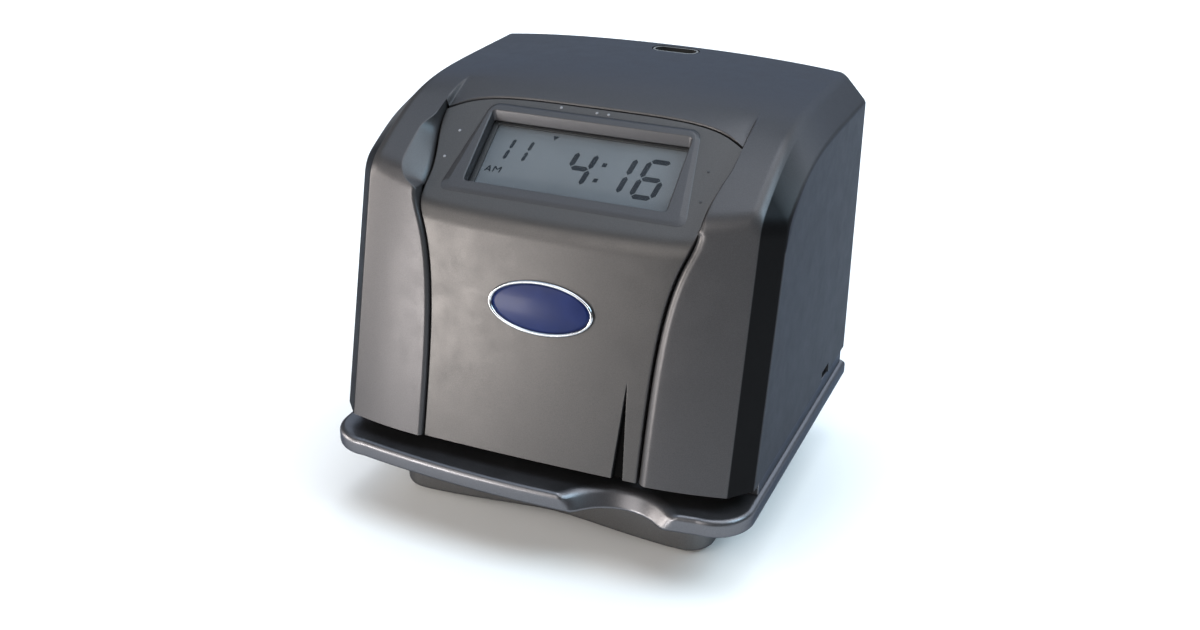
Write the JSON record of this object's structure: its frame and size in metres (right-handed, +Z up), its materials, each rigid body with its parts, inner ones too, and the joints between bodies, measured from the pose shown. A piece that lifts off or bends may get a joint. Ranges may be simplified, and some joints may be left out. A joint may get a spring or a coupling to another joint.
{
  "type": "time clock",
  "caption": "Desk time recorder: a lift-off case with a sloped display over a carriage print mechanism, a front paper slot, a scalloped paper table and a pedestal.",
  "frame": {"origin": "on the desk, under the middle of the object's box", "axes": "+X to the right seen from the front, +Y from the front to the back, +Z up"},
  "size_m": [0.195, 0.172, 0.186],
  "materials": {
    "case_plastic": "satin moulded charcoal",
    "fascia_plastic": "satin warm metallic grey",
    "bezel_plastic": "satin moulded charcoal",
    "clear_window": "clear polished sheet",
    "display_glass": "grey-green liquid-crystal cell",
    "badge_chrome": "polished rim",
    "badge_blue": "glossy dark blue enamel",
    "table_plastic": "satin moulded black-blue",
    "pedestal_plastic": "matt moulded black",
    "rubber": "matt black",
    "sheet_steel": "zinc-plated sheet",
    "painted_plate": "fine powder coat",
    "shaft_steel": "ground bar",
    "screw_steel": "plated",
    "bronze": "sintered bush",
    "motor_steel": "drawn can",
    "brass": "turned",
    "nylon": "natural moulded",
    "black_plastic": "moulded",
    "switch_plastic": "moulded red",
    "ribbon_cloth": "inked woven nylon",
    "board_green": "solder resist",
    "battery_sleeve": "shrink sleeve",
    "head_metal": "finned casting",
    "button_plastic": "moulded"
  },
  "bodies": {
    "base": {"rubber_feet": "rubber", "pedestal": "pedestal_plastic", "base_tray": "table_plastic", "platen": "rubber", "back_plate": "painted_plate", "frame_left": "sheet_steel", "frame_right": "sheet_steel", "cartridge_shelf": "sheet_steel", "top_bridge": "sheet_steel", "guide_shaft": "shaft_steel", "screw_bushes": "bronze", "carriage_motor": "motor_steel", "ribbon_cartridge": "black_plastic", "ribbon": "ribbon_cloth", "trigger_switch": "switch_plastic", "main_board": "board_green", "board_standoffs": "nylon", "board_parts": "black_plastic", "button_bases": "black_plastic", "backup_battery": "battery_sleeve", "power_inlet": "black_plastic", "display_bracket": "sheet_steel", "display_board": "board_green", "display_frame": "black_plastic", "display_glass": "display_glass", "lock_keeper": "sheet_steel", "frame_screws": "screw_steel", "plate_screws": "screw_steel"},
    "cover": {"case_cover": "case_plastic", "front_fascia": "fascia_plastic", "display_bezel": "bezel_plastic", "display_window": "clear_window", "badge_rim": "badge_chrome", "badge_plate": "badge_blue", "lock_cup": "black_plastic"},
    "lock": {"lock_barrel": "brass", "lock_cam": "sheet_steel"},
    "carriage": {"carriage": "black_plastic", "print_head": "head_metal"},
    "screw": {"lead_screw": "shaft_steel", "screw_gear": "nylon"},
    "pinion": {"motor_pinion": "brass"},
    "knob": {"ribbon_knob": "nylon"},
    "trigger": {"trigger_lever": "nylon"},
    "stop": {"card_stop": "sheet_steel"},
    "button_left": {"set_button_left": "button_plastic"},
    "button_middle": {"set_button_middle": "button_plastic"},
    "button_right": {"set_button_right": "button_plastic"}
  },
  "joints": [
    {"name": "cover_lift", "type": "slide", "parent": "base", "child": "cover", "axis": [0, 0, 1], "range_m": [0, 0.146]},
    {"name": "lock_turn", "type": "hinge", "parent": "cover", "child": "lock", "pos_m": [0.006, 0.078, 0.17], "axis": [0, 0, -1], "range_deg": [0, 90]},
    {"name": "carriage_slide", "type": "slide", "parent": "base", "child": "carriage", "axis": [1, 0, 0], "range_m": [-0.02, 0.02]},
    {"name": "screw_turn", "type": "hinge", "parent": "base", "child": "screw", "pos_m": [0, -0.037, 0.071], "axis": [1, 0, 0], "range_deg": [-610, 610]},
    {"name": "pinion_turn", "type": "hinge", "parent": "base", "child": "pinion", "pos_m": [0, -0.01602, 0.08799], "axis": [1, 0, 0], "range_deg": [-1220, 1220]},
    {"name": "knob_turn", "type": "hinge", "parent": "base", "child": "knob", "pos_m": [0.066, -0.006, 0.06], "axis": [0, 0, 1], "continuous": true},
    {"name": "trigger_swing", "type": "hinge", "parent": "base", "child": "trigger", "pos_m": [-0.0148, -0.0085, 0.05], "axis": [1, 0, 0], "range_deg": [0, 28], "stiffness_Nm_per_rad": 0.004, "springref_deg": -5.73},
    {"name": "stop_slide", "type": "slide", "parent": "base", "child": "stop", "axis": [0, 1, 0], "range_m": [-0.005, 0.006]},
    {"name": "button_left_press", "type": "slide", "parent": "base", "child": "button_left", "axis": [0, 0, -1], "range_m": [0, 0.0008], "stiffness_N_per_m": 250, "springref_m": -0.0008},
    {"name": "button_middle_press", "type": "slide", "parent": "base", "child": "button_middle", "axis": [0, 0, -1], "range_m": [0, 0.0008], "stiffness_N_per_m": 250, "springref_m": -0.0008},
    {"name": "button_right_press", "type": "slide", "parent": "base", "child": "button_right", "axis": [0, 0, -1], "range_m": [0, 0.0008], "stiffness_N_per_m": 250, "springref_m": -0.0008}
  ],
  "couplings": [
    {"joint": "screw_turn", "follows": "carriage_slide", "rad_per_m": 523.6},
    {"joint": "pinion_turn", "follows": "carriage_slide", "rad_per_m": -1047.2}
  ]
}
